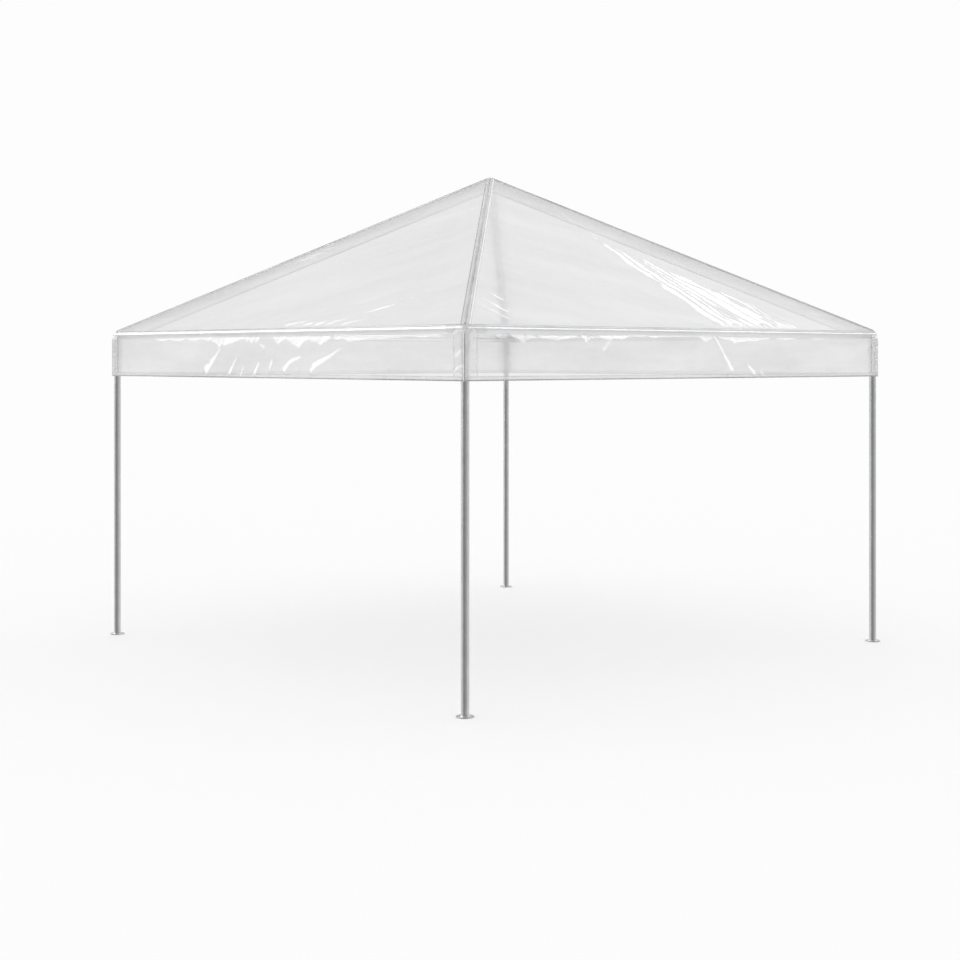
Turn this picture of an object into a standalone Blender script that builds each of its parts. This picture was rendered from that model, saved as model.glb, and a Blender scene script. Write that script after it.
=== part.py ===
"""Frame tent with a clear film roof: square plan, pyramid roof, short valance, four tube legs.

Metres, +Z up. The front is -Y. Every piece of one side or corner is made once, for the front side or
the front left corner, and turned about Z by quarter turns for the other three.
"""

import math

import bmesh
import bpy
from mathutils import Matrix, Vector

# Plan and heights
SIDE = 4.0                      # leg axis to leg axis
EAVE_HEIGHT = 2.262             # axis of the eave pipes
ROOF_PITCH = math.radians(29.8)
VALANCE_FOOT = 1.955            # lowest edge of the valance

# Pipes and fittings
PIPE_RADIUS = 0.0254            # two inch tube
SLEEVE_WALL = 0.003
SLEEVE_START = 0.003            # from the joint's centre
SOCKET_FLOOR = 0.065            # where a pipe ends inside its socket, from the joint's centre
SOCKET_MOUTH = 0.145            # open end of the socket
PIN_PLACE = 0.118               # locking pin along the socket
PIN_RADIUS = 0.005
PIN_HEAD = 0.009                # how far the head stands off the sleeve
BASE_RADIUS = 0.055
BASE_THICKNESS = 0.006

# Cover
FILM = 0.001
HEM_HEIGHT = 0.028
HEM_THICKNESS = 0.003
BAND_WIDTH = 0.092              # doubled film each side of a valance corner
POCKET_DEPTH = 0.105            # hip pocket, below the ridge
POCKET_HALF_WIDTH = 0.032
POCKET_SHOULDER = 0.043         # straight part of its wall, below the ridge

GAP = 0.0003                    # left between touching pieces
ROUND = 32                      # sides of a round piece

HALF = SIDE / 2
SLEEVE_RADIUS = PIPE_RADIUS + GAP + SLEEVE_WALL
COVER_OFFSET = SLEEVE_RADIUS + GAP
COVER_INSIDE = HALF + COVER_OFFSET
COVER_OUTSIDE = COVER_INSIDE + FILM
RISE = math.tan(ROOF_PITCH)
CROWN_HEIGHT = EAVE_HEIGHT + HALF * RISE
MITRE = GAP / math.sqrt(2)

SIDES = ("front", "right", "back", "left")
CORNERS = ("front_left", "front_right", "back_right", "back_left")

INWARD = Vector((1, 1, 0)).normalized()
HIP_UP = Vector((1, 1, RISE)).normalized()
HIP_BELOW = Vector((-1, 1, 0)).cross(HIP_UP).normalized()


def clear_scene():
    for item in list(bpy.data.objects):
        bpy.data.objects.remove(item, do_unlink=True)


def make_material(name, colour, roughness, metallic, alpha=1.0):
    material = bpy.data.materials.new(name)
    material.use_nodes = True
    shader = material.node_tree.nodes["Principled BSDF"]
    shader.inputs["Base Color"].default_value = (*colour, 1.0)
    shader.inputs["Roughness"].default_value = roughness
    shader.inputs["Metallic"].default_value = metallic
    shader.inputs["Alpha"].default_value = alpha
    material.diffuse_color = (*colour, alpha)
    return material


def place(name, mesh, material, matrix, quarter=0):
    """Adds one named piece, turned about Z by quarter turns."""
    piece = bpy.data.objects.new(name, mesh.copy())
    piece.data.name = name
    piece.data.materials.clear()
    piece.data.materials.append(material)
    piece.matrix_world = Matrix.Rotation(quarter * math.pi / 2, 4, "Z") @ matrix
    bpy.context.scene.collection.objects.link(piece)
    return piece


def along(direction):
    """Turns local +Z onto a direction."""
    return direction.to_track_quat("Z", "Y").to_matrix().to_4x4()


def mesh_from(build):
    """Runs a bmesh recipe and returns its mesh with outward faces."""
    shape = bmesh.new()
    build(shape)
    bmesh.ops.recalc_face_normals(shape, faces=shape.faces)
    mesh = bpy.data.meshes.new("piece")
    shape.to_mesh(mesh)
    shape.free()
    return mesh


def rod_mesh(radius, start, end, direction=Vector((0, 0, 1)), centre=Vector(), sides=ROUND):
    """A solid cylinder along a direction, from one distance to another."""
    def build(shape):
        middle = centre + direction * (start + end) / 2
        matrix = Matrix.Translation(middle) @ along(direction)
        bmesh.ops.create_cone(
            shape, cap_ends=True, segments=sides, radius1=radius, radius2=radius,
            depth=end - start, matrix=matrix)
    return mesh_from(build)


def ball_mesh(radius):
    def build(shape):
        bmesh.ops.create_uvsphere(shape, u_segments=ROUND, v_segments=ROUND // 2, radius=radius)
    return mesh_from(build)


def shell_mesh(first, second, caps):
    """A closed skin between two matching rings of points, with its ends split into the given faces."""
    def build(shape):
        rings = [[shape.verts.new(point) for point in ring] for ring in (first, second)]
        count = len(first)
        for index in range(count):
            after = (index + 1) % count
            shape.faces.new((rings[0][index], rings[0][after], rings[1][after], rings[1][index]))
        for ring in rings:
            for cap in caps:
                shape.faces.new([ring[index] for index in cap])
    return mesh_from(build)


def combine(base, tools, operation):
    """Joins meshes to a base mesh, or cuts them from it, with one exact Boolean each."""
    body = bpy.data.objects.new("body", base)
    bpy.context.scene.collection.objects.link(body)
    cutters = []
    for mesh in tools:
        cutter = bpy.data.objects.new("cutter", mesh)
        bpy.context.scene.collection.objects.link(cutter)
        cutters.append(cutter)
        modifier = body.modifiers.new(operation, "BOOLEAN")
        modifier.operation = operation
        modifier.solver = "EXACT"
        modifier.object = cutter
    bpy.context.view_layer.update()
    evaluated = body.evaluated_get(bpy.context.evaluated_depsgraph_get())
    result = bpy.data.meshes.new_from_object(evaluated)
    for item in (body, *cutters):
        bpy.data.objects.remove(item, do_unlink=True)
    return result


def fitting_mesh(arms):
    """A hub with one hollow socket per arm. Each arm is its direction and where its pin points."""
    solid = []
    bores = []
    for direction, pin_direction in arms:
        solid.append(rod_mesh(SLEEVE_RADIUS, SLEEVE_START, SOCKET_MOUTH, direction))
        pin_start = PIPE_RADIUS + 2 * GAP
        pin_end = SLEEVE_RADIUS + PIN_HEAD
        solid.append(rod_mesh(PIN_RADIUS, pin_start, pin_end, pin_direction, direction * PIN_PLACE, 16))
        bores.append(rod_mesh(PIPE_RADIUS + GAP, SOCKET_FLOOR, SOCKET_MOUTH + 0.01, direction))
    hub = combine(ball_mesh(SLEEVE_RADIUS * 0.99), solid, "UNION")
    return combine(hub, bores, "DIFFERENCE")


def roof_inside(run):
    """Height of the roof film's inner face, at a distance inward from the eave pipe's axis."""
    return EAVE_HEIGHT + COVER_OFFSET / math.cos(ROOF_PITCH) + run * RISE


def roof_film_mesh():
    """The front roof panel: a triangle from the eave's edge to the peak, mitred along both hips."""
    reach = COVER_OUTSIDE
    plan = [(-(reach - MITRE), -reach), (reach - MITRE, -reach), (0, -MITRE)]
    inner = [(x, y, roof_inside(HALF + y)) for x, y in plan]
    outer = [(x, y, z + FILM / math.cos(ROOF_PITCH)) for x, y, z in inner]
    return shell_mesh(inner, outer, [(0, 1, 2)])


def hanging_strip_mesh(inside, outside, top_of, foot):
    """An upright strip along the front side, mitred at both ends."""
    rings = []
    for side in (-1, 1):
        rings.append([
            (side * (inside - MITRE), -inside, foot),
            (side * (outside - MITRE), -outside, foot),
            (side * (outside - MITRE), -outside, top_of(outside)),
            (side * (inside - MITRE), -inside, top_of(inside)),
        ])
    return shell_mesh(rings[0], rings[1], [(0, 1, 2, 3)])


def valance_mesh():
    foot = VALANCE_FOOT + HEM_HEIGHT + GAP
    return hanging_strip_mesh(COVER_INSIDE, COVER_OUTSIDE, lambda reach: roof_inside(HALF - reach) - GAP, foot)


def hem_mesh():
    inside = COVER_INSIDE - (HEM_THICKNESS - FILM) / 2
    return hanging_strip_mesh(
        inside, inside + HEM_THICKNESS, lambda reach: VALANCE_FOOT + HEM_HEIGHT, VALANCE_FOOT)


def corner_band_mesh():
    """The doubled film outside the front left valance corner, an L in plan."""
    inside = COVER_OUTSIDE + GAP
    outside = inside + FILM
    end = outside - BAND_WIDTH
    plan = [(-outside, -outside), (-end, -outside), (-end, -inside),
            (-inside, -inside), (-inside, -end), (-outside, -end)]
    foot = VALANCE_FOOT + HEM_HEIGHT + GAP
    top = roof_inside(HALF - COVER_OUTSIDE)
    rings = [[(x, y, z) for x, y in plan] for z in (foot, top)]
    return shell_mesh(rings[0], rings[1], [(0, 1, 2, 3), (3, 4, 5, 0)])


def hip_pocket_mesh():
    """The film sleeve round the front left rafter: two walls that meet in a seam below it."""
    wall = POCKET_HALF_WIDTH
    lining = wall - FILM
    top = wall * RISE / math.sqrt(2) + 2 * GAP
    seam_inside = POCKET_DEPTH - 2.2 * FILM
    section = [(0, POCKET_DEPTH), (wall, POCKET_SHOULDER), (wall, top),
               (lining, top), (lining, POCKET_SHOULDER), (0, seam_inside),
               (-lining, POCKET_SHOULDER), (-lining, top), (-wall, top), (-wall, POCKET_SHOULDER)]
    lowest = EAVE_HEIGHT + SLEEVE_RADIUS + 4 * GAP

    def point(across, depth, distance):
        """From a place in the section and a distance out from the tent's centre, along the diagonal."""
        outward = -INWARD * distance
        sideways = Vector((1, -1, 0)).normalized() * across
        height = roof_inside(HALF - distance / math.sqrt(2)) - depth
        return outward + sideways + Vector((0, 0, height))

    def crown_end(across, depth):
        return point(across, depth, abs(across) + GAP)

    def eave_end(across, depth):
        run = (lowest + depth - roof_inside(0)) / RISE
        return point(across, depth, (HALF - run) * math.sqrt(2))

    first = [crown_end(*corner) for corner in section]
    second = [eave_end(*corner) for corner in section]
    return shell_mesh(first, second, [(0, 1, 2, 3, 4, 5), (5, 6, 7, 8, 9, 0)])


def add_frame():
    pipe = make_material("aluminium_pipe", (0.58, 0.59, 0.60), 0.32, 1.0)
    casting = make_material("cast_fitting", (0.50, 0.51, 0.52), 0.45, 1.0)
    plate = make_material("base_plate_steel", (0.42, 0.43, 0.43), 0.5, 1.0)

    pipe_end = SOCKET_FLOOR + GAP
    hip_length = HALF * math.sqrt(2 + RISE * RISE)
    leg_start = BASE_THICKNESS + GAP
    leg = rod_mesh(PIPE_RADIUS, 0, EAVE_HEIGHT - pipe_end - leg_start)
    eave = rod_mesh(PIPE_RADIUS, pipe_end - HALF, HALF - pipe_end)
    rafter = rod_mesh(PIPE_RADIUS, pipe_end, hip_length - pipe_end)
    base = rod_mesh(BASE_RADIUS, 0, BASE_THICKNESS, sides=36)

    right = Vector((1, 0, 0))
    back = Vector((0, 1, 0))
    down = Vector((0, 0, -1))
    corner = fitting_mesh([(down, INWARD), (right, back), (back, right), (HIP_UP, HIP_BELOW)])

    foot_place = Matrix.Translation((-HALF, -HALF, 0))
    leg_place = Matrix.Translation((-HALF, -HALF, leg_start))
    eave_place = Matrix.Translation((0, -HALF, EAVE_HEIGHT)) @ along(right)
    joint_place = Matrix.Translation((-HALF, -HALF, EAVE_HEIGHT))
    for quarter, (side, name) in enumerate(zip(SIDES, CORNERS)):
        place(f"base_plate_{name}", base, plate, foot_place, quarter)
        place(f"leg_{name}", leg, pipe, leg_place, quarter)
        place(f"corner_fitting_{name}", corner, casting, joint_place, quarter)
        place(f"eave_pipe_{side}", eave, pipe, eave_place, quarter)
        place(f"hip_rafter_{name}", rafter, pipe, joint_place @ along(HIP_UP), quarter)

    arms = []
    for quarter in range(4):
        turn = Matrix.Rotation(quarter * math.pi / 2, 3, "Z")
        arms.append((turn @ -HIP_UP, turn @ HIP_BELOW))
    place("crown_fitting", fitting_mesh(arms), casting, Matrix.Translation((0, 0, CROWN_HEIGHT)))


def add_cover():
    film = make_material("clear_film", (0.86, 0.87, 0.88), 0.12, 0.0, 0.35)
    doubled = make_material("doubled_film", (0.78, 0.79, 0.80), 0.15, 0.0, 0.5)
    pieces = [
        (SIDES, "roof_film", roof_film_mesh(), film),
        (SIDES, "valance", valance_mesh(), film),
        (SIDES, "valance_hem", hem_mesh(), doubled),
        (CORNERS, "corner_band", corner_band_mesh(), doubled),
        (CORNERS, "hip_pocket", hip_pocket_mesh(), doubled),
    ]
    for places, name, mesh, material in pieces:
        for quarter, where in enumerate(places):
            place(f"{name}_{where}", mesh, material, Matrix.Identity(4), quarter)


clear_scene()
add_frame()
add_cover()
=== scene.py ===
"""Looks of the frame tent: clear film cover over tube and slip fittings, in the frame of the CAD.

Metres, +Z up, the front is -Y. The cover is one sheet, and its hem, corner bands, hip seams and hip
pockets are separate pieces of doubled film on it. What repeats is made for the front side or the front
left corner and turned about Z by quarter turns.
"""

import math

import bpy
import numpy as np
from mathutils import Matrix, Vector


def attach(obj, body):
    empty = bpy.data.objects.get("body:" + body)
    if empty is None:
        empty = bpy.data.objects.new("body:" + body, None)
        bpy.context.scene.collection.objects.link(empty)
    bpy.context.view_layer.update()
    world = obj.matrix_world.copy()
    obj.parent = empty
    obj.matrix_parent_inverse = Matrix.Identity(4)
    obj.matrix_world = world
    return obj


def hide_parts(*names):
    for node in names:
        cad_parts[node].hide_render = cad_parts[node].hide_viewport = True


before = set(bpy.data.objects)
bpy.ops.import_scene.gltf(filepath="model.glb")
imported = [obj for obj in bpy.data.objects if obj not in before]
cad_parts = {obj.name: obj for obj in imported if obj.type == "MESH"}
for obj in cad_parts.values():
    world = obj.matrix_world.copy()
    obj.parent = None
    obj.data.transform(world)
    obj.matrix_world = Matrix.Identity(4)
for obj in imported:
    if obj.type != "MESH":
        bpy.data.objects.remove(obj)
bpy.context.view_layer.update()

# Sizes that the CAD sets
HALF = 2.0
EAVE = 2.262
PITCH = math.radians(29.8)
RISE = math.tan(PITCH)
PIPE_RADIUS = 0.0254
SLEEVE_RADIUS = 0.0287
SOCKET_FLOOR = 0.065
SOCKET_MOUTH = 0.145
PIN_PLACE = 0.118
FOOT = 1.955
HEM_HEIGHT = 0.028
BAND_WIDTH = 0.092
POCKET_DEPTH = 0.105
BASE_RADIUS = 0.055
BASE_THICKNESS = 0.006

# The film
FILM_RADIUS = 0.0295            # its middle, from the axes of the tubes that it lies on
WRAP = math.pi / 2 - PITCH      # how far it turns round an eave pipe
EDGE = HALF + FILM_RADIUS * math.sin(PITCH)
DROP = EAVE - FOOT
CELLS = 272                     # across the roof in plan
FINER = 2                       # columns of the valance to one cell of the roof
WRAP_TURNS = WRAP * (1 - np.array([0.02, 0.15, 0.3, 0.45, 0.6, 0.75, 0.9, 1.0]))
CORNER_COLUMNS = 7
CORNER_BEND = 0.007             # radius of the valance's corners

SIDES = ("front", "right", "back", "left")
CORNERS = ("front_left", "front_right", "back_right", "back_left")
HIP_UP = Vector((1, 1, RISE)).normalized()
HIP_BELOW = Vector((-1, 1, 0)).cross(HIP_UP).normalized()
INWARD = Vector((1, 1, 0)).normalized()


# Small tools

def smooth_step(low, high, values):
    share = np.clip((values - low) / (high - low), 0.0, 1.0)
    return share * share * (3 - 2 * share)


def turned(points, quarter):
    """Points turned about Z by quarter turns."""
    angle = quarter * math.pi / 2
    cos, sin = round(math.cos(angle)), round(math.sin(angle))
    out = np.array(points, dtype=float)
    x, y = out[..., 0].copy(), out[..., 1].copy()
    out[..., 0] = x * cos - y * sin
    out[..., 1] = x * sin + y * cos
    return out


def noise(x, y, seed):
    """Smooth noise from -1 to 1 with a period of one unit."""
    table = np.random.RandomState(seed).uniform(-1, 1, (97, 97))
    ix = np.floor(x).astype(int)
    iy = np.floor(y).astype(int)
    fx = smooth_step(0, 1, x - ix)
    fy = smooth_step(0, 1, y - iy)
    corner = [table[(ix + a) % 97, (iy + b) % 97] for a, b in ((0, 0), (1, 0), (0, 1), (1, 1))]
    low = corner[0] + (corner[1] - corner[0]) * fx
    high = corner[2] + (corner[3] - corner[2]) * fx
    return low + (high - low) * fy


def add_piece(name, vertices, faces, material, stands_for=(), smooth=True):
    mesh = bpy.data.meshes.new(name)
    mesh.from_pydata(np.asarray(vertices).tolist(), [], faces)
    mesh.validate()
    mesh.update()
    if smooth:
        mesh.shade_smooth()
    mesh.materials.append(material)
    piece = bpy.data.objects.new(name, mesh)
    bpy.context.scene.collection.objects.link(piece)
    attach(piece, "root")
    if stands_for:
        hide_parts(*stands_for)
    return piece


# Materials

class Nodes:
    """A short way to write node trees."""

    def __init__(self, name, world=False):
        if world:
            self.owner = bpy.data.worlds.new(name)
        else:
            self.owner = bpy.data.materials.new(name)
        self.owner.use_nodes = True
        self.tree = self.owner.node_tree
        self.tree.nodes.clear()

    def add(self, kind, inputs=None, **settings):
        node = self.tree.nodes.new(kind)
        for key, value in settings.items():
            setattr(node, key, value)
        for key, value in (inputs or {}).items():
            self.put(node.inputs[key], value)
        return node

    def put(self, socket, value):
        if isinstance(value, bpy.types.NodeSocket):
            self.tree.links.new(value, socket)
        elif isinstance(value, bpy.types.Node):
            self.tree.links.new(value.outputs[0], socket)
        else:
            socket.default_value = value

    def math(self, operation, *values, clamp=False):
        node = self.add("ShaderNodeMath", operation=operation, use_clamp=clamp)
        for socket, value in zip(node.inputs, values):
            self.put(socket, value)
        return node.outputs[0]

    def remap(self, value, low, high, to_low=0.0, to_high=1.0, smooth=False):
        node = self.add("ShaderNodeMapRange", {
            "Value": value, "From Min": low, "From Max": high, "To Min": to_low, "To Max": to_high})
        node.interpolation_type = "SMOOTHSTEP" if smooth else "LINEAR"
        return node.outputs[0]

    def finish(self, shader, kind="ShaderNodeOutputMaterial"):
        out = self.add(kind)
        self.put(out.inputs["Surface"], shader)
        return self.owner


def film_material(name, colour, haze, shine, roughness, crinkle, mottle=0.035,
                  layers=(0.0, 0.0, 1.0), streak=0.0):
    """Clear flexible film gone slightly milky: a veil of haze, glossy, and more solid at a low angle."""
    n = Nodes(name)
    place = n.add("ShaderNodeTexCoord").outputs["Object"]
    fine = n.add("ShaderNodeTexNoise", {"Vector": place, "Scale": 42.0, "Detail": 3.0, "Roughness": 0.5})
    broad = n.add("ShaderNodeTexNoise", {"Vector": place, "Scale": 7.0, "Detail": 2.0, "Roughness": 0.45})
    height = n.math("ADD", n.math("MULTIPLY", fine.outputs[0], 0.12), broad.outputs[0])
    if streak:
        drawn = n.add("ShaderNodeMapping", {
            "Vector": place, "Rotation": (0.0, 0.0, 0.32), "Scale": (0.6, 0.03, 1.0)}, vector_type="TEXTURE")
        thin = n.add("ShaderNodeTexNoise", {"Vector": drawn, "Scale": 1.0, "Detail": 3.0, "Roughness": 0.65})
        height = n.math("ADD", n.math("MULTIPLY", thin.outputs[0], streak), height)
    bump = n.add("ShaderNodeBump", {"Height": height, "Strength": 1.0, "Distance": crinkle})
    facing = n.add("ShaderNodeLayerWeight", {"Blend": 0.5, "Normal": bump}).outputs["Facing"]
    steep = n.math("POWER", facing, 4.0)
    clouds = n.add("ShaderNodeTexNoise", {"Vector": place, "Scale": 1.6, "Detail": 4.0, "Roughness": 0.55})
    veil = n.remap(clouds.outputs[0], 0.3, 0.7, haze - 0.05, haze + 0.05)
    solid = n.math("ADD", n.math("MULTIPLY", steep, 0.97 - haze), veil, clamp=True)
    level = n.add("ShaderNodeVectorMath", {0: place, 1: layers}, operation="DOT_PRODUCT").outputs["Value"]
    raised = n.add("ShaderNodeVectorMath", {
        0: layers, "Scale": n.math("MULTIPLY", level, 3.5)}, operation="SCALE")
    banded = n.add("ShaderNodeVectorMath", {0: place, 1: raised}, operation="ADD")
    bands = n.add("ShaderNodeTexNoise", {"Vector": banded, "Scale": 1.1, "Detail": 5.0, "Roughness": 0.6})
    tone = n.add("ShaderNodeMix", {"Factor": n.remap(bands.outputs[0], 0.3, 0.7)}, data_type="RGBA")
    tone.inputs[6].default_value = (*(c * (1 - mottle) for c in colour), 1.0)
    tone.inputs[7].default_value = (*(c * (1 + mottle) for c in colour), 1.0)
    shader = n.add("ShaderNodeBsdfPrincipled", {
        "Base Color": tone.outputs[2], "Metallic": shine, "Roughness": roughness, "Normal": bump})
    clear = n.add("ShaderNodeBsdfTransparent", {"Color": (1.0, 1.0, 1.0, 1.0)})
    mix = n.add("ShaderNodeMixShader", {0: solid, 1: clear, 2: shader})
    return n.finish(mix)


def metal_material(name, colour, roughness, grain, stretch, wear):
    """Bare metal with a drawn or cast grain."""
    n = Nodes(name)
    place = n.add("ShaderNodeTexCoord").outputs["Object"]
    mapped = n.add("ShaderNodeMapping", {"Vector": place, "Scale": stretch})
    streaks = n.add("ShaderNodeTexNoise", {"Vector": mapped, "Scale": grain, "Detail": 4.0, "Roughness": 0.6})
    clouds = n.add("ShaderNodeTexNoise", {"Vector": place, "Scale": 9.0, "Detail": 3.0, "Roughness": 0.6})
    tone = n.math("ADD", n.math("MULTIPLY", streaks.outputs[0], 0.5),
                  n.math("MULTIPLY", clouds.outputs[0], 0.5))
    dark = tuple(c * (1 - wear) for c in colour)
    light = tuple(min(1.0, c * (1 + wear)) for c in colour)
    ramp = n.add("ShaderNodeMix", {"Factor": n.remap(tone, 0.3, 0.7)}, data_type="RGBA")
    ramp.inputs[6].default_value = (*dark, 1.0)
    ramp.inputs[7].default_value = (*light, 1.0)
    rough = n.remap(tone, 0.3, 0.7, roughness * 0.8, roughness * 1.2)
    bump = n.add("ShaderNodeBump", {"Height": streaks.outputs[0], "Strength": 0.25, "Distance": 0.0004})
    shader = n.add("ShaderNodeBsdfPrincipled", {
        "Base Color": ramp.outputs[2], "Metallic": 1.0, "Roughness": rough, "Normal": bump})
    return n.finish(shader)


ROOF = film_material("clear_film", (0.80, 0.80, 0.81), 0.61, 0.05, 0.05, 0.0010, 0.045,
                     (-0.353, 0.353, 0.867), 0.9)
VALANCE = film_material("clear_film_hung", (0.80, 0.80, 0.81), 0.57, 0.05, 0.05, 0.0010, 0.10)
POCKET = film_material("doubled_film", (0.72, 0.72, 0.73), 0.36, 0.05, 0.06, 0.0010)
BAND = film_material("band_film", (0.87, 0.87, 0.88), 0.33, 0.05, 0.05, 0.0010)
# Grey film: the hem's upper weld line, and a strip of painted shade along each hip over the rafter's shaded
# half.
GREY_WELD_AND_SHADE = film_material("grey_weld_and_painted_shade_film", (0.68, 0.68, 0.685), 0.58, 0.05, 0.25, 0.0006, 0.15)
WELD = film_material("weld_line", (0.37, 0.37, 0.375), 0.78, 0.05, 0.45, 0.0004, 0.30)
SEAM_EDGE = film_material("seam_edge", (0.22, 0.22, 0.225), 0.84, 0.05, 0.45, 0.0004)
CORD = film_material("welded_cord", (0.52, 0.52, 0.525), 0.94, 0.0, 0.65, 0.0002, 0.25)
# Near-white film for strips of painted highlight: it stands for the gleam where the film bends round a corner
# or a hip.
PAINTED_HIGHLIGHT = film_material("painted_highlight_film", (0.97, 0.97, 0.97), 0.90, 0.0, 0.40, 0.0002)
PIPE = metal_material("drawn_aluminium", (0.67, 0.675, 0.68), 0.22, 30.0, (9.0, 9.0, 0.35), 0.07)
PIPE_FLAT = metal_material("drawn_aluminium_level", (0.72, 0.725, 0.73), 0.25, 60.0, (1.0, 1.0, 1.0), 0.08)
CAST = metal_material("cast_aluminium", (0.56, 0.565, 0.57), 0.40, 90.0, (1.0, 1.0, 1.0), 0.12)
PLATE = metal_material("galvanised_steel", (0.50, 0.505, 0.51), 0.42, 70.0, (1.0, 1.0, 1.0), 0.18)


# Folds of the cover

def crease(s, t, path, widths, heights):
    """A soft ridge along a path of (s, t) points, tapered at both ends, with its width and height there."""
    near = np.full(s.shape, 1e9)
    share = np.zeros(s.shape)
    path = np.asarray(path, dtype=float)
    steps = np.hypot(*np.diff(path, axis=0).T)
    whole = steps.sum()
    done = 0.0
    for (a, b), step in zip(zip(path[:-1], path[1:]), steps):
        along = ((s - a[0]) * (b[0] - a[0]) + (t - a[1]) * (b[1] - a[1])) / step**2
        along = np.clip(along, 0, 1)
        distance = np.hypot(s - a[0] - along * (b[0] - a[0]), t - a[1] - along * (b[1] - a[1]))
        closer = distance < near
        near = np.where(closer, distance, near)
        share = np.where(closer, (done + along * step) / whole, share)
        done += step
    width = (widths[0] + (widths[1] - widths[0]) * share) * (1 + 0.18 * noise(s * 41.0, t * 41.0, 9))
    height = heights[0] + (heights[1] - heights[0]) * share
    taper = smooth_step(0, 0.12, share) * smooth_step(0, 0.05, 1 - share)
    return height * taper * np.exp(-(near / width) ** 2)


# Creases of the roof on the front and right sides: path of (s, run), widths and heights at its ends
ROOF_CREASES = {
    0: [([(1.26, 0.41), (0.93, 0.24), (0.65, 0.125), (0.33, 0.015)], (0.012, 0.018), (0.0030, 0.0060)),
        ([(1.10, 0.29), (0.86, 0.175), (0.60, 0.075), (0.46, 0.015)], (0.012, 0.015), (0.0028, 0.0048)),
        ([(0.90, 0.17), (0.70, 0.075), (0.58, 0.010)], (0.012, 0.014), (0.0026, 0.0042)),
        ([(0.80, 0.235), (0.45, 0.115), (0.12, 0.015)], (0.012, 0.016), (0.0028, 0.0056)),
        ([(0.36, 0.125), (0.20, 0.07), (0.06, 0.010)], (0.012, 0.015), (0.0022, 0.0044)),
        ([(1.02, 0.115), (0.88, 0.065), (0.76, 0.010)], (0.012, 0.014), (0.0024, 0.0040))],
    1: [([(-1.50, 0.40), (-1.46, 0.34), (-1.42, 0.27)], (0.010, 0.013), (0.0020, 0.0034)),
        ([(-1.62, 0.32), (-1.56, 0.24), (-1.50, 0.13)], (0.010, 0.013), (0.0020, 0.0036)),
        ([(-1.70, 0.25), (-1.63, 0.16), (-1.58, 0.05)], (0.010, 0.013), (0.0020, 0.0036)),
        ([(-1.77, 0.18), (-1.71, 0.10), (-1.69, 0.03)], (0.010, 0.012), (0.0020, 0.0030))],
}
# Flutes of the roof: pole (s, run), first and last ray in degrees from straight down, how many, share, seed
ROOF_FANS = {
    1: [((0.27, 1.67), 0.5, 28.0, 9, 1.0, 3)],
    2: [((-0.20, 1.60), -30.0, -6.0, 6, 0.7, 5)],
    3: [((0.10, 1.70), 4.0, 24.0, 5, 0.7, 11)],
}
FLUTE_SLOPE = 0.150
FLUTE_RISE = 0.78               # how much of a flute's width is its long flank


def fan(s, run, pole, first, last, count, amount, seed):
    """Flutes with one long and one short flank, which spread from a pole down to the eave."""
    across, along = s - pole[0], pole[1] - run
    reach = np.hypot(across, along)
    angle = np.degrees(np.arctan2(across, along))
    angle = angle + 1.2 * noise(reach * 4.0, angle * 0.12, seed) \
        + 0.9 * noise(reach * 11.0, angle * 0.4, seed + 1)
    draw = np.random.RandomState(seed).uniform(0.5, 1.5, count)
    edges = first + (last - first) * np.concatenate([[0.0], np.cumsum(draw) / draw.sum()])
    number = np.clip(np.searchsorted(edges, angle) - 1, 0, count - 1)
    wide = edges[number + 1] - edges[number]
    share = np.clip((angle - edges[number]) / wide, 0.0, 1.0)
    saw = np.where(share < FLUTE_RISE, share / FLUTE_RISE, (1 - share) / (1 - FLUTE_RISE))
    varied = 0.95 + 0.30 * noise(number * 7.3 + 0.5, reach * 5.0, seed + 2)
    fade = smooth_step(0.02, 0.12, reach) * smooth_step(0.004, 0.035, run) * (along > 0)
    widest = first + (last - first) * (0.35 + 0.65 * smooth_step(0.35, 1.65, reach))
    fade = fade * smooth_step(widest + 0.06 * (last - first), widest, angle)
    return amount * FLUTE_SLOPE * reach * np.radians(wide) * saw * varied * fade


def roof_fold(side, s, run):
    """How far the roof film stands off its plane, outwards, on one side."""
    away = (HALF - run - np.abs(s)) / math.sqrt(2)
    free = smooth_step(0.0, 0.25, away) * smooth_step(0.0, 0.2, run)
    held = smooth_step(0.02, 0.10, away) * smooth_step(0.002, 0.03, run)
    sag = -0.010 * free
    lean = 1 if side % 2 == 0 else -1
    along, across = lean * s * 0.92 + run * 0.38, run * 0.92 - lean * s * 0.38
    waves = 0.0030 * noise(along * 1.1 + 11 * side, across * 5.0 + 5, 40 + side)
    waves += 0.0010 * noise(along * 2.6 + 3, across * 13.0, 50 + side)
    waves += 0.0007 * noise(s * 9.0 + 5 * side, run * 9.0, 55 + side)
    total = sag + waves * free
    for path, widths, heights in ROOF_CREASES.get(side, []):
        total += held * crease(s, run, path, widths, heights)
    for settings in ROOF_FANS.get(side, []):
        total += held * fan(s, run, *settings)
    return total


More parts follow.
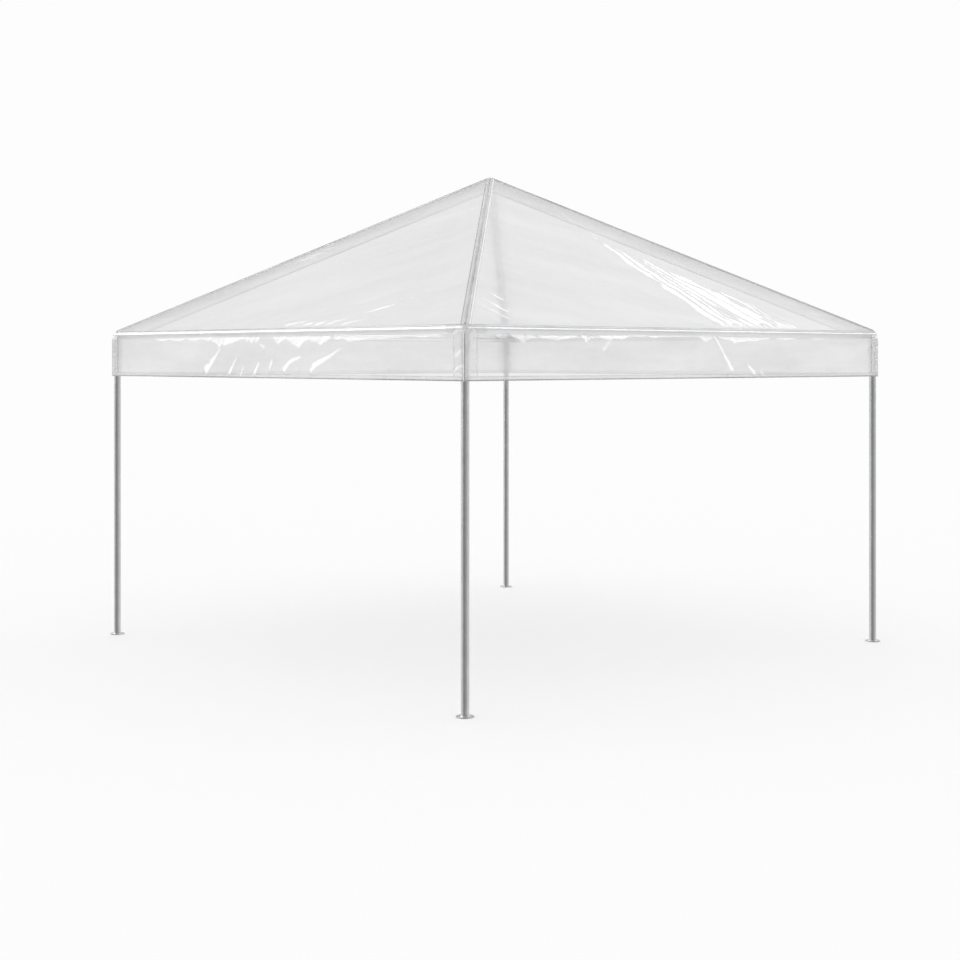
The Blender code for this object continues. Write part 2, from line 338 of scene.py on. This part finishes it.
# Where the valance billows out again under the eave pipe: start, longest place, end, how far down it reaches
BILLOWS = {
    0: [(-1.42, -1.30, -1.18, 0.014), (-1.22, -1.08, -0.98, 0.018), (-1.02, -0.86, -0.78, 0.014),
        (-0.82, -0.70, -0.64, 0.016), (-0.68, -0.55, -0.24, 0.056), (-0.25, -0.215, -0.19, 0.034),
        (-0.195, -0.160, -0.13, 0.040), (-0.135, -0.105, -0.07, 0.034), (0.10, 0.155, 0.24, 0.050),
        (0.225, 0.39, 0.50, 0.060), (0.46, 0.62, 0.735, 0.052), (0.76, 0.80, 0.86, 0.020),
        (0.85, 0.93, 1.20, 0.038), (1.08, 1.25, 1.62, 0.022), (1.50, 1.62, 1.85, 0.012)],
    1: [(-1.79, -1.74, -1.68, 0.022), (-1.66, -1.56, -1.44, 0.044), (-1.46, -1.30, -1.08, 0.036),
        (-1.07, -1.02, -0.96, 0.050), (-0.92, -0.86, -0.76, 0.032), (-0.80, -0.72, -0.64, 0.030),
        (-0.50, -0.42, -0.30, 0.012), (0.03, 0.10, 0.20, 0.034), (0.22, 0.40, 0.82, 0.038),
        (0.78, 0.95, 1.10, 0.014), (1.20, 1.30, 1.45, 0.012)],
}
BILLOW_TOP = 0.030
BILLOW_SLOPE = 0.23
# Creases of the valance on the front and right sides: path of (s, depth), widths and heights at its ends
VALANCE_CREASES = {
    0: [([(-0.53, 0.105), (-0.60, 0.19), (-0.71, 0.31)], (0.012, 0.062), (0.003, 0.0155)),
        ([(-0.31, 0.15), (-0.36, 0.22), (-0.42, 0.31)], (0.009, 0.030), (0.002, 0.012)),
        ([(-0.25, 0.22), (-0.275, 0.31)], (0.009, 0.018), (0.001, 0.011)),
        ([(-0.06, 0.20), (-0.105, 0.31)], (0.010, 0.028), (0.002, 0.017)),
        ([(0.09, 0.18), (0.070, 0.27)], (0.009, 0.020), (0.001, 0.013)),
        ([(0.43, 0.17), (0.30, 0.215), (0.225, 0.285)], (0.010, 0.034), (0.003, 0.011)),
        ([(0.40, 0.21), (0.36, 0.265)], (0.008, 0.018), (0.002, 0.006)),
        ([(0.87, 0.110), (0.71, 0.185), (0.57, 0.245), (0.52, 0.29)], (0.008, 0.034), (0.003, 0.011)),
        ([(-0.06, 0.085), (-0.01, 0.105), (-0.015, 0.135)], (0.008, 0.012), (0.0025, 0.004))],
    1: [([(0.16, 0.015), (0.25, 0.13), (0.36, 0.29)], (0.010, 0.026), (0.003, 0.010)),
        ([(0.50, 0.21), (0.60, 0.31)], (0.010, 0.028), (0.002, 0.010)),
        ([(0.64, 0.25), (0.69, 0.31)], (0.010, 0.020), (0.002, 0.007)),
        ([(-0.77, 0.03), (-0.83, 0.09), (-0.89, 0.15)], (0.010, 0.018), (0.003, 0.006)),
        ([(-1.05, 0.02), (-1.015, 0.055), (-1.04, 0.085)], (0.008, 0.012), (0.003, 0.004))],
}


def valance_fold(side, s, t):
    """How far the valance stands off its plane, outwards, on one side, at depth t below the eave."""
    if side > 1:
        side, s = side - 2, -s
    held = smooth_step(HALF - 0.03, HALF - 0.22, np.abs(s))
    waves = 0.005 * noise(s * 2.3, t * 2.0 + 9 * side, 70 + side) * smooth_step(0.02, 0.2, t)
    waves += 0.0016 * noise(s * 7.0 + t * 6, t * 6.0, 75 + side) * smooth_step(0.03, 0.09, t)
    total = waves - 0.0012 * smooth_step(0.004, 0.018, t) * smooth_step(0.06, 0.03, t)
    length = np.zeros_like(s)
    for start, middle, end, longest in BILLOWS[side]:
        share = np.clip(np.minimum((s - start) / (middle - start), (end - s) / (end - middle)), 0.0, 1.0)
        length = np.maximum(length, longest * share**0.7)
    level = np.zeros_like(s)
    length = np.maximum(length * (1.0 + 0.32 * noise(s * 38.0, level + 0.5, 60 + side)), 1e-4)
    inward = smooth_step(0.008, BILLOW_TOP, t)
    outward = np.clip((BILLOW_TOP + length - t) / length, 0.0, 1.0)
    total -= BILLOW_SLOPE * length * inward * outward
    for path, widths, heights in VALANCE_CREASES[side]:
        total += crease(s, t, path, widths, heights)
    return total * held


# The cover

VALANCE_ROWS = np.concatenate([np.linspace(0.004, 0.088, 16), np.linspace(0.101, DROP, 16)])
LINE = np.linspace(-EDGE, EDGE, CELLS + 1)
FINE_LINE = np.linspace(LINE[1], LINE[-2], (CELLS - 2) * FINER + 1)
ARC = np.radians(-90 + (np.arange(CORNER_COLUMNS) + 0.5) * 90 / CORNER_COLUMNS)
POLE_ANGLE = math.atan2(2 * math.cos(PITCH), math.sqrt(2) * math.sin(PITCH))
POLE = (HALF + FILM_RADIUS * math.cos(POLE_ANGLE) / math.sqrt(2), EAVE + FILM_RADIUS * math.sin(POLE_ANGLE))


def eave_ring(turn, depth, lift=0.0, line=None, arc=None):
    """One ring of the cover round the tent, at a turn round the eave pipes or a depth below them."""
    line = FINE_LINE if line is None else line
    arc = ARC if arc is None else arc
    loose = float(smooth_step(0.0, 0.035, depth))
    level = np.zeros_like(line)
    rows = []
    for side in range(4):
        reach = (FILM_RADIUS + lift) * math.cos(turn)
        out = valance_fold(side, line, level + depth) if depth > 0 else level
        straight = np.stack([
            line, -(HALF + reach + out), level + EAVE + (FILM_RADIUS + lift) * math.sin(turn) - depth], 1)
        bend = reach * (1 - loose) + (CORNER_BEND + lift) * loose
        corner = np.stack([
            HALF + reach - bend + bend * np.cos(arc), bend - HALF - reach + bend * np.sin(arc),
            np.full(arc.shape, straight[0, 2])], 1)
        rows.append(turned(np.concatenate([straight, corner]), side))
    return np.concatenate(rows)


def roof_points():
    x, y = np.meshgrid(LINE, LINE, indexing="ij")
    run = EDGE - np.maximum(np.abs(x), np.abs(y))
    normal = FILM_RADIUS * math.cos(PITCH)
    points = np.stack([x, y, EAVE + normal + run * RISE], -1)
    ridge = np.isclose(np.abs(x), np.abs(y))
    points[ridge, 2] -= 0.0022
    for side in range(4):
        local = turned(points, -side)
        mine = (-local[..., 1] >= np.abs(local[..., 0]) - 1e-9) & ~ridge
        fold = roof_fold(side, local[mine][:, 0], HALF + local[mine][:, 1])
        push = turned(np.array([0, -math.sin(PITCH), math.cos(PITCH)]), side)
        points[mine] += fold[:, None] * push
    for i in (0, CELLS):
        for j in (0, CELLS):
            points[i, j] = (math.copysign(POLE[0], x[i, j]), math.copysign(POLE[0], y[i, j]), POLE[1])
    return points


def make_roof():
    """The four roof faces, one sheet folded over the rafters."""
    number = np.arange((CELLS + 1) ** 2).reshape(CELLS + 1, CELLS + 1)
    faces = []
    for i in range(CELLS):
        for j in range(CELLS):
            a, b, c, d = (int(v) for v in (
                number[i, j], number[i + 1, j], number[i + 1, j + 1], number[i, j + 1]))
            if i == j:
                faces += [(a, b, c), (a, c, d)]
            elif i + j == CELLS - 1:
                faces += [(a, b, d), (b, c, d)]
            else:
                faces.append((a, b, c, d))
    nodes = [f"roof_film_{side}" for side in SIDES]
    return add_piece("roof_film", roof_points().reshape(-1, 3), faces, ROOF, nodes)


def make_valance():
    """The sheet that goes on from the roof's edge, over the eave pipes and down, all round the tent."""
    straight = len(FINE_LINE)
    count = straight + CORNER_COLUMNS
    rings = [eave_ring(turn, 0.0) for turn in WRAP_TURNS] + [eave_ring(0.0, depth) for depth in VALANCE_ROWS]
    top = []
    for side in range(4):
        level = np.zeros(straight)
        row = np.stack([FINE_LINE, level - EDGE, level + EAVE + FILM_RADIUS * math.cos(PITCH)], 1)
        top.append(turned(np.concatenate([row, [(POLE[0], -POLE[0], POLE[1])]]), side))
    top = np.concatenate(top)
    start = len(top)
    faces = []
    for side in range(4):
        edge = side * (straight + 1)
        first = start + side * count
        for k in range(straight - 1):
            faces.append((edge + k, first + k, first + k + 1, edge + k + 1))
        pole = edge + straight
        arc = first + straight
        faces.append((pole - 1, arc - 1, arc, pole))
        for k in range(CORNER_COLUMNS - 1):
            faces.append((pole, arc + k, arc + k + 1))
        after = (side + 1) % 4
        faces.append((pole, arc + CORNER_COLUMNS - 1, start + after * count, after * (straight + 1)))
    for face in ring_faces(len(rings), 4 * count):
        faces.append(tuple(v + start for v in face))
    nodes = [f"valance_{side}" for side in SIDES]
    return add_piece("valance_film", np.concatenate([top, *rings]), faces, VALANCE, nodes)


def ring_faces(rings, count, closed=True):
    faces = []
    for ring in range(rings - 1):
        for k in range(count if closed else count - 1):
            after = (k + 1) % count
            faces.append((
                ring * count + k, (ring + 1) * count + k, (ring + 1) * count + after, ring * count + after))
    return faces


def loop_piece(name, section, material, nodes=()):
    """A loop round the tent whose section is (lift off the film, depth below the eave) points."""
    rings = [eave_ring(0.0, depth, lift) for lift, depth in section]
    return add_piece(
        name, np.concatenate(rings), ring_faces(len(rings), len(rings[0])), material, nodes)


def make_hem():
    """The valance's foot, folded up inside and welded: a flat loop round the tent."""
    top = DROP - HEM_HEIGHT
    section = [(0.0011, top), (0.0016, top + 0.003), (0.0017, top + 0.024), (0.0009, DROP), (-0.0009, DROP),
               (-0.0017, top + 0.024), (-0.0016, top + 0.003), (-0.0011, top)]
    nodes = [f"valance_hem_{side}" for side in SIDES]
    hem = loop_piece("valance_hem", section, BAND, nodes)
    lines = [loop_piece("hem_weld_high", [(0.0022, top), (0.0022, top + 0.004)], GREY_WELD_AND_SHADE, ()),
             loop_piece("hem_weld_low", [(0.0022, DROP - 0.0075), (0.0016, DROP - 0.0005)], WELD, ())]
    return [hem, *lines]


def make_eave_weld():
    """The weld where the valance's sheet joins the roof, along the top of the eave pipes."""
    rings = [eave_ring(WRAP * share, 0.0, 0.0007) for share in (0.86, 0.93, 1.0)]
    return add_piece("eave_weld", np.concatenate(rings), ring_faces(len(rings), len(rings[0])), WELD, ())


def band_rows(quarter, lift, near, arc, depths, wrinkled):
    """Rings of points round one valance corner, at a lift off the film, from one side to the next."""
    side = (quarter - 1) % 4
    after = quarter % 4
    rows = []
    for depth in depths:
        t = np.full(near.shape, max(depth, 0.0))
        height = np.full(near.shape, EAVE - depth)
        loose = float(smooth_step(0.0, 0.035, depth))
        reach = FILM_RADIUS + lift
        ripple = 0.0045 * wrinkled \
            * (1 + noise(near * 38 + depth * 30, near * 0 + depth * 24, 81 + quarter)) \
            * smooth_step(0.0, 0.02, depth)
        out = valance_fold(side, near, t) + ripple
        first = np.stack([near, -(HALF + reach + out), height], 1)
        curve = reach * (1 - loose) + (CORNER_BEND + lift) * loose
        bend = np.stack([
            HALF + reach - curve + curve * np.cos(arc), curve - HALF - reach + curve * np.sin(arc),
            np.full(arc.shape, EAVE - depth)], 1)
        ripple = 0.0045 * wrinkled \
            * (1 + noise(near * 38 - depth * 30, near * 0 + depth * 24, 91 + quarter)) \
            * smooth_step(0.0, 0.02, depth)
        out = valance_fold(after, -near[::-1], t) + ripple[::-1]
        last = turned(np.stack([-near[::-1], -(HALF + reach + out), height], 1), 1)
        rows.append(turned(np.concatenate([first, bend, last]), side))
    return rows


def make_corner_band(quarter):
    """Doubled film round one valance corner, just outside the cover, with its welds and a white strip of
    painted highlight beside the corner weld.
    """
    name = CORNERS[quarter]
    foot = DROP - HEM_HEIGHT - 0.001
    near = np.linspace(HALF + FILM_RADIUS - BAND_WIDTH, HALF, 24)[:-1]
    arc = np.radians(np.linspace(-90, 0, 11))
    rings = band_rows(quarter, 0.0012, near, arc, np.linspace(-0.004, foot, 90), 1.0)
    faces = ring_faces(len(rings), len(rings[0]), closed=False)
    pieces = [add_piece(f"corner_band_film_{name}", np.concatenate(rings), faces, BAND,
                        [f"corner_band_{name}"])]
    depths = np.linspace(0.0, foot, 60)
    for number, columns in enumerate(((0, 1), (-2, -1))):
        strip = [row[list(columns)] for row in band_rows(quarter, 0.0017, near, arc, depths, 1.0)]
        pieces.append(add_piece(f"band_weld_{number + 1}_{name}", np.concatenate(strip),
                                ring_faces(len(strip), 2, closed=False), WELD, ()))
    # corner_weld is the dark weld at the corner; the white strip beside it is a painted highlight of the
    # film's bend.
    for part, across, half_width, material in (("corner_weld", 0.0, 0.0022, SEAM_EDGE),
                                               ("corner_painted_highlight", -0.0050, 0.0018, PAINTED_HIGHLIGHT)):
        strip = []
        for depth in np.linspace(0.024, DROP, 60):
            lift = 0.0018
            loose = float(smooth_step(0.0, 0.035, depth))
            curve = (FILM_RADIUS + lift) * (1 - loose) + (CORNER_BEND + lift) * loose
            angles = math.radians(-45) + (across + np.linspace(-half_width, half_width, 5)) / curve
            middle = HALF + FILM_RADIUS + lift - curve
            row = np.stack([middle + curve * np.cos(angles), curve * np.sin(angles) - middle,
                            np.full(5, EAVE - depth)], 1)
            strip.append(turned(row, (quarter - 1) % 4))
        pieces.append(add_piece(f"{part}_{name}", np.concatenate(strip),
                                ring_faces(len(strip), 5, closed=False), material, ()))
    return pieces


def hip_point(across, depth, distance):
    """A place across a hip, at a depth below the film's ridge line and a distance out along the diagonal."""
    outward = -INWARD * distance
    sideways = Vector((1, -1, 0)).normalized() * across
    height = EAVE + FILM_RADIUS / math.cos(PITCH) + (HALF - distance / math.sqrt(2)) * RISE - depth
    return outward + sideways + Vector((0, 0, height))


def pocket_piece(name, section, quarter, material, nodes=()):
    """A strip along one rafter from (across, depth below the ridge of the film) points."""
    lowest = EAVE + SLEEVE_RADIUS + 0.0012
    steps = 90
    rings = []
    for across, depth in section:
        near = abs(across) + 0.0005
        run = (lowest + depth - EAVE - FILM_RADIUS / math.cos(PITCH)) / RISE
        far = (HALF - run) * math.sqrt(2)
        line = [hip_point(across, depth, near + (far - near) * k / steps) for k in range(steps + 1)]
        rings.append(turned(np.array(line), quarter))
    faces = ring_faces(len(rings), steps + 1, closed=False)
    return add_piece(
        f"{name}_{CORNERS[quarter]}", np.concatenate(rings), faces, material, nodes)


def make_hip_pocket(quarter):
    """The film sleeve that hangs round one rafter and closes in a welded seam below it."""
    half = [(0.0315, 0.0150), (0.0320, 0.030), (0.0316, 0.045), (0.0290, 0.058), (0.0225, 0.071),
            (0.0130, 0.082), (0.0045, 0.0895), (0.0008, 0.0935), (0.0006, 0.099), (0.0005, POCKET_DEPTH)]
    section = half + [(-across, depth) for across, depth in half[::-1]]
    sleeve = pocket_piece("hip_pocket_film", section, quarter, POCKET, [f"hip_pocket_{CORNERS[quarter]}"])
    line = pocket_piece("hip_pocket_weld", [(0.0014, POCKET_DEPTH - 0.008), (0.0014, POCKET_DEPTH),
                        (-0.0014, POCKET_DEPTH), (-0.0014, POCKET_DEPTH - 0.008)], quarter, SEAM_EDGE)
    return [sleeve, line]


def seam_piece(name, places, quarter, material):
    """A strip along one hip. Each place is how far across the film it lies and how far off it."""
    bend = math.acos(math.cos(PITCH) ** 2) / 2
    across = Vector((1, -1, 0)).normalized()
    up = HIP_UP.cross(across).normalized()
    if up.z < 0:
        up = -up
    start = Vector((-HALF, -HALF, EAVE))
    length = HALF * math.sqrt(2 + RISE * RISE)
    steps = 120
    rings = []
    for place, lift in places:
        radius = FILM_RADIUS + lift
        angle = max(-bend, min(bend, place / FILM_RADIUS))
        rest = place - angle * FILM_RADIUS
        offset = across * (radius * math.sin(angle) + rest * math.cos(angle)) \
            + up * (radius * math.cos(angle) - abs(rest) * math.sin(abs(angle)))
        line = [start + HIP_UP * (0.004 + (length - 0.005) * k / steps) + offset for k in range(steps + 1)]
        rings.append(turned(np.array([tuple(p) for p in line]), quarter))
    faces = ring_faces(len(rings), steps + 1, closed=False)
    return add_piece(f"{name}_{CORNERS[quarter]}", np.concatenate(rings), faces, material, ())


def make_hip_seam(quarter):
    """The welded overlap of two roof panels: a doubled strip along one hip, with a dark weld line at one
    edge, a grey strip of painted shade over the shaded half of the rafter below, and a white line of painted
    highlight at the other edge.
    """
    reach = 0.027
    places = [(-reach - 0.004, 0.0003), (-reach, 0.0014)]
    places += [(place, 0.0012) for place in np.linspace(-0.02, 0.02, 13)]
    places += [(reach, 0.0014), (reach + 0.004, 0.0003)]
    strip = seam_piece("hip_seam", places, quarter, BAND)
    pieces = [strip]
    cord = [(-0.0062, 0.0010), (-0.0056, 0.0036), (-0.0032, 0.0056), (0.0, 0.0062), (0.0032, 0.0056),
            (0.0056, 0.0036), (0.0062, 0.0010)]
    pieces.append(seam_piece("hip_cord", cord, quarter, CORD))
    # First a dark weld at the strip's edge, then a grey strip of painted shade over the rafter's shaded half,
    # then a white line of painted highlight at the other edge.
    lines = ((-reach + 0.001, 0.0020, 0.0022, SEAM_EDGE), (0.0145, 0.0075, 0.0024, GREY_WELD_AND_SHADE),
             (reach + 0.001, 0.0032, 0.0026, PAINTED_HIGHLIGHT))
    for number, (centre, width, high, material) in enumerate(lines):
        line = [(centre - width, 0.0015), (centre - width + 0.001, high), (centre + width - 0.001, high),
                (centre + width, 0.0015)]
        pieces.append(seam_piece(f"hip_weld_{number + 1}", line, quarter, material))
    return pieces


# Tubes, fittings and base plates

def lathe(profile, direction=Vector((0, 0, 1)), centre=Vector(), sides=48, closed=False):
    """Vertices and faces of a profile of (radius, height) points turned about a direction."""
    turn = direction.to_track_quat("Z", "Y").to_matrix()
    points = []
    for radius, height in profile:
        for k in range(sides):
            angle = 2 * math.pi * k / sides
            local = Vector((radius * math.cos(angle), radius * math.sin(angle), height))
            points.append(tuple(centre + turn @ local))
    faces = []
    count = len(profile)
    for ring in range(count if closed else count - 1):
        after = (ring + 1) % count
        for k in range(sides):
            nxt = (k + 1) % sides
            faces.append((ring * sides + k, ring * sides + nxt, after * sides + nxt, after * sides + k))
    return points, faces


def joined(parts):
    points = []
    faces = []
    for part_points, part_faces in parts:
        start = len(points)
        points += list(part_points)
        faces += [tuple(v + start for v in face) for face in part_faces]
    return points, faces


def tube(length, direction, centre, radius=PIPE_RADIUS, wall=0.002, sides=48):
    lip = 0.0004
    profile = [(radius - wall, 0), (radius - lip, 0), (radius, lip), (radius, length - lip),
               (radius - lip, length), (radius - wall, length)]
    return lathe(profile, direction, centre, sides, closed=True)


def sharpen(piece, degrees=35):
    piece.data.set_sharp_from_angle(angle=math.radians(degrees))


def make_frame():
    hip_length = HALF * math.sqrt(2 + RISE * RISE)
    pipe_end = SOCKET_FLOOR + 0.0003
    start = BASE_THICKNESS + 0.0003
    right, back, down = Vector((1, 0, 0)), Vector((0, 1, 0)), Vector((0, 0, -1))
    corner = Vector((-HALF, -HALF, EAVE))
    for quarter in range(4):
        name = CORNERS[quarter]
        side = SIDES[quarter]
        pieces = [
            (f"leg_tube_{name}",
             tube(EAVE - pipe_end - start, Vector((0, 0, 1)), Vector((-HALF, -HALF, start))),
             PIPE, f"leg_{name}", "aluminium_pipe"),
            (f"eave_tube_{side}",
             tube(SIDE_LENGTH, right, Vector((pipe_end - HALF, -HALF, EAVE))),
             PIPE_FLAT, f"eave_pipe_{side}", "aluminium_pipe"),
            (f"hip_tube_{name}",
             tube(hip_length - 2 * pipe_end, HIP_UP, corner + HIP_UP * pipe_end),
             PIPE_FLAT, f"hip_rafter_{name}", "aluminium_pipe"),
            (f"corner_socket_{name}",
             fitting([(down, INWARD), (right, back), (back, right), (HIP_UP, HIP_BELOW)], corner),
             CAST, f"corner_fitting_{name}", "cast_fitting"),
            (f"foot_plate_{name}", foot_plate(), PLATE, f"base_plate_{name}", "base_plate_steel"),
        ]
        for piece_name, (points, faces), material, node, slot in pieces:
            piece = add_piece(piece_name, turned(np.array(points), quarter), faces, material, [node])
            sharpen(piece)
    arms = []
    for quarter in range(4):
        turn = Matrix.Rotation(quarter * math.pi / 2, 3, "Z")
        arms.append((turn @ -HIP_UP, turn @ HIP_BELOW))
    points, faces = fitting(arms, Vector((0, 0, EAVE + HALF * RISE)))
    sharpen(add_piece("crown_socket", points, faces, CAST, ["crown_fitting"]))


SIDE_LENGTH = 2 * (HALF - SOCKET_FLOOR - 0.0003)


def fitting(arms, centre):
    """Slip sockets welded to a hub, each with a locking pin."""
    parts = [ball(SLEEVE_RADIUS * 0.99, centre)]
    bore = PIPE_RADIUS + 0.0003
    for direction, pin in arms:
        sleeve = [(bore, SOCKET_FLOOR), (bore, SOCKET_MOUTH - 0.0008), (bore + 0.0008, SOCKET_MOUTH),
                  (SLEEVE_RADIUS - 0.0009, SOCKET_MOUTH), (SLEEVE_RADIUS, SOCKET_MOUTH - 0.0009),
                  (SLEEVE_RADIUS, 0.003)]
        parts.append(lathe(sleeve, direction, centre))
        place = centre + direction * PIN_PLACE
        start = SLEEVE_RADIUS - 0.0005
        button = [(0.0064, start), (0.0064, start + 0.0016), (0.0058, start + 0.0021),
                  (0.0042, start + 0.0021), (0.0040, start + 0.0045), (0.0050, start + 0.0052),
                  (0.0050, start + 0.0088), (0.0042, start + 0.0095), (0.0, start + 0.0095)]
        parts.append(lathe(button, pin, place, 20))
    return joined(parts)


def ball(radius, centre, sides=32):
    profile = []
    for k in range(17):
        angle = math.pi * (k / 16 - 0.5)
        profile.append((radius * math.cos(angle), radius * math.sin(angle)))
    return lathe(profile, centre=centre, sides=sides)


def foot_plate():
    """A round plate with two stake holes and the weld bead of its leg."""
    sides = 64
    hole_radius = 0.007
    hole_place = 0.0405
    bevel = 0.0008
    inner = PIPE_RADIUS + 0.0005
    centre = Vector((-HALF, -HALF, 0))

    def arc(radius, first, last, count, height, middle=0.0):
        """Points on a circle round (0, middle), from one angle to another."""
        angles = [math.radians(first + (last - first) * k / count) for k in range(count + 1)]
        return [(radius * math.cos(a) - HALF, radius * math.sin(a) + middle - HALF, height) for a in angles]

    parts = []
    for height, open_middle in ((BASE_THICKNESS, True), (0.0, False)):
        for sign in (1, -1):
            start = 90 * sign
            outline = arc(BASE_RADIUS - bevel, -start, 180 - start, sides // 2, height)
            outline += arc(hole_radius, start, start - 180, 12, height, sign * hole_place)
            if open_middle:
                outline += arc(inner, start, start - 180, sides // 2, height)
            outline += arc(hole_radius, start, start - 180, 12, height, -sign * hole_place)
            if not open_middle:
                outline.reverse()
            parts.append((outline, [tuple(range(len(outline)))]))
    for middle in (hole_place, -hole_place):
        parts.append(lathe([(hole_radius, BASE_THICKNESS), (hole_radius, 0.0)],
                           centre=centre + Vector((0, middle, 0)), sides=24))
    rim = [(BASE_RADIUS - bevel, 0), (BASE_RADIUS, bevel), (BASE_RADIUS, BASE_THICKNESS - bevel),
           (BASE_RADIUS - bevel, BASE_THICKNESS)]
    bead = [(PIPE_RADIUS + 0.0002, BASE_THICKNESS + 0.0042), (PIPE_RADIUS + 0.0016, BASE_THICKNESS + 0.0036),
            (PIPE_RADIUS + 0.0032, BASE_THICKNESS + 0.0018), (PIPE_RADIUS + 0.0038, BASE_THICKNESS - 0.0002)]
    parts += [lathe(rim, centre=centre, sides=sides), lathe(bead, centre=centre, sides=sides)]
    return joined(parts)


# Light, camera and floor

def make_world():
    """Plain bright surroundings, soft even light, and lamps and dark walls for what is glossy to reflect."""
    n = Nodes("studio", world=True)
    direction = n.add("ShaderNodeTexCoord").outputs["Generated"]
    height = n.add("ShaderNodeSeparateXYZ", {0: direction}).outputs["Z"]
    flat = n.add("ShaderNodeVectorMath", {0: direction, 1: (1.0, 1.0, 0.0)}, operation="MULTIPLY")
    level = n.add("ShaderNodeVectorMath", {0: flat}, operation="NORMALIZE")

    def towards(azimuth, inner, outer, smooth=True):
        """1 within the inner angle of an azimuth, 0 beyond the outer one."""
        a = math.radians(azimuth)
        dot = n.add("ShaderNodeVectorMath", {
            0: level, 1: (math.cos(a), math.sin(a), 0.0)}, operation="DOT_PRODUCT")
        limits = math.cos(math.radians(outer)), math.cos(math.radians(inner))
        return n.remap(dot.outputs["Value"], *limits, 0.0, 1.0, smooth=smooth)

    def above(low, high):
        """From 0 to 1 between two elevations."""
        return n.remap(
            height, math.sin(math.radians(low)), math.sin(math.radians(high)), 0.0, 1.0, smooth=True)

    def plus(total, value, strength):
        return n.math("MULTIPLY_ADD", value, strength, total)

    def blend(first, second, share):
        return n.math("ADD", n.math("MULTIPLY", first, n.math("SUBTRACT", 1.0, share)),
                      n.math("MULTIPLY", second, share))

    ring = plus(0.27, towards(135, 45, 180, smooth=False), 0.57)
    ring = plus(ring, towards(10, 15, 60), 0.13)
    ring = plus(ring, towards(-134, 8, 35), 0.20)
    total = blend(0.88, ring, above(-35, -15))
    sky = plus(plus(0.55, above(10, 26), 0.33), above(27, 44), -0.30)
    sky = plus(sky, n.math("MULTIPLY", towards(112, 15, 42), above(20, 32)), 0.22)
    total = blend(total, sky, above(8, 15))
    lamps = [
        # azimuth, inner and outer half width, where it starts and ends upwards, strength
        (190, 12, 17, (4.5, 7.5), (27, 33), 2.8),
        (220, 14, 19, (4.5, 7.5), (50, 54), 3.2),
        (246, 9, 14, (6, 9), (24, 28), 3.0),
        (171, 9, 12, (33, 37), (50, 54), 2.6),
        (45, 9, 14, (10, 14), (27, 31), 3.6),
        (74, 15, 19, (5, 8), (21, 25), 3.5),
        (96, 10, 14, (26, 30), (50, 54), 1.5),
        (138, 34, 42, (41.5, 45), (60, 66), 3.0),
        (45, 15, 30, (-70, -60), (-16, -12), 0.5),
    ]
    for azimuth, inner, outer, start, end, strength in lamps:
        window = n.math("MULTIPLY", above(*start), n.math("SUBTRACT", 1.0, above(*end)))
        total = plus(total, n.math("MULTIPLY", window, towards(azimuth, inner, outer)), strength)
    studio = n.add("ShaderNodeBackground", {"Color": (1.0, 1.0, 1.0, 1.0), "Strength": total})
    soft = n.add("ShaderNodeBackground", {"Color": (1.0, 1.0, 1.0, 1.0), "Strength": 1.0})
    plain = n.add("ShaderNodeBackground", {"Color": (0.981, 0.981, 0.981, 1.0), "Strength": 1.0})
    path = n.add("ShaderNodeLightPath")
    lit = n.add("ShaderNodeMixShader", {0: path.outputs["Is Glossy Ray"], 1: soft, 2: studio})
    mix = n.add("ShaderNodeMixShader", {0: path.outputs["Is Camera Ray"], 1: lit, 2: plain})
    world = n.finish(mix, "ShaderNodeOutputWorld")
    world.cycles.sampling_method = "NONE"
    bpy.context.scene.world = world


def make_floor():
    n = Nodes("studio_floor")
    lit = n.add("ShaderNodeBsdfDiffuse", {"Color": (0.80, 0.80, 0.80, 1.0), "Roughness": 0.0})
    glow = n.add("ShaderNodeEmission", {"Color": (0.181, 0.181, 0.181, 1.0), "Strength": 1.0})
    material = n.finish(n.add("ShaderNodeAddShader", {0: lit, 1: glow}))
    reach = 3000.0
    mesh = bpy.data.meshes.new("studio_floor")
    mesh.from_pydata(
        [(-reach, -reach, 0), (reach, -reach, 0), (reach, reach, 0), (-reach, reach, 0)], [], [(0, 1, 2, 3)])
    mesh.materials.append(material)
    floor = bpy.data.objects.new("studio_floor", mesh)
    bpy.context.scene.collection.objects.link(floor)
    floor.visible_glossy = False


def make_camera():
    yaw = math.radians(48.3)
    distance = 12.72
    across = -0.076
    back = Vector((math.sin(yaw), -math.cos(yaw), 0))
    right = Vector((math.cos(yaw), math.sin(yaw), 0))
    lens = bpy.data.cameras.new("camera")
    lens.sensor_width = 36.0
    lens.lens = 63.75
    lens.shift_y = -0.127
    lens.clip_end = 9000.0
    camera = bpy.data.objects.new("camera", lens)
    camera.location = back * distance + right * across + Vector((0, 0, 2.09))
    camera.rotation_euler = (math.pi / 2, 0, yaw)
    bpy.context.scene.collection.objects.link(camera)
    bpy.context.scene.camera = camera


make_camera()
make_world()
make_floor()
make_frame()
roof = make_roof()
valance = make_valance()
on_valance = [*make_hem(), make_eave_weld()]
on_roof = []
for quarter in range(4):
    on_valance += make_corner_band(quarter)
    on_roof += [*make_hip_pocket(quarter), *make_hip_seam(quarter)]

bpy.context.scene.view_settings.view_transform = "Standard"
bpy.context.view_layer.update()
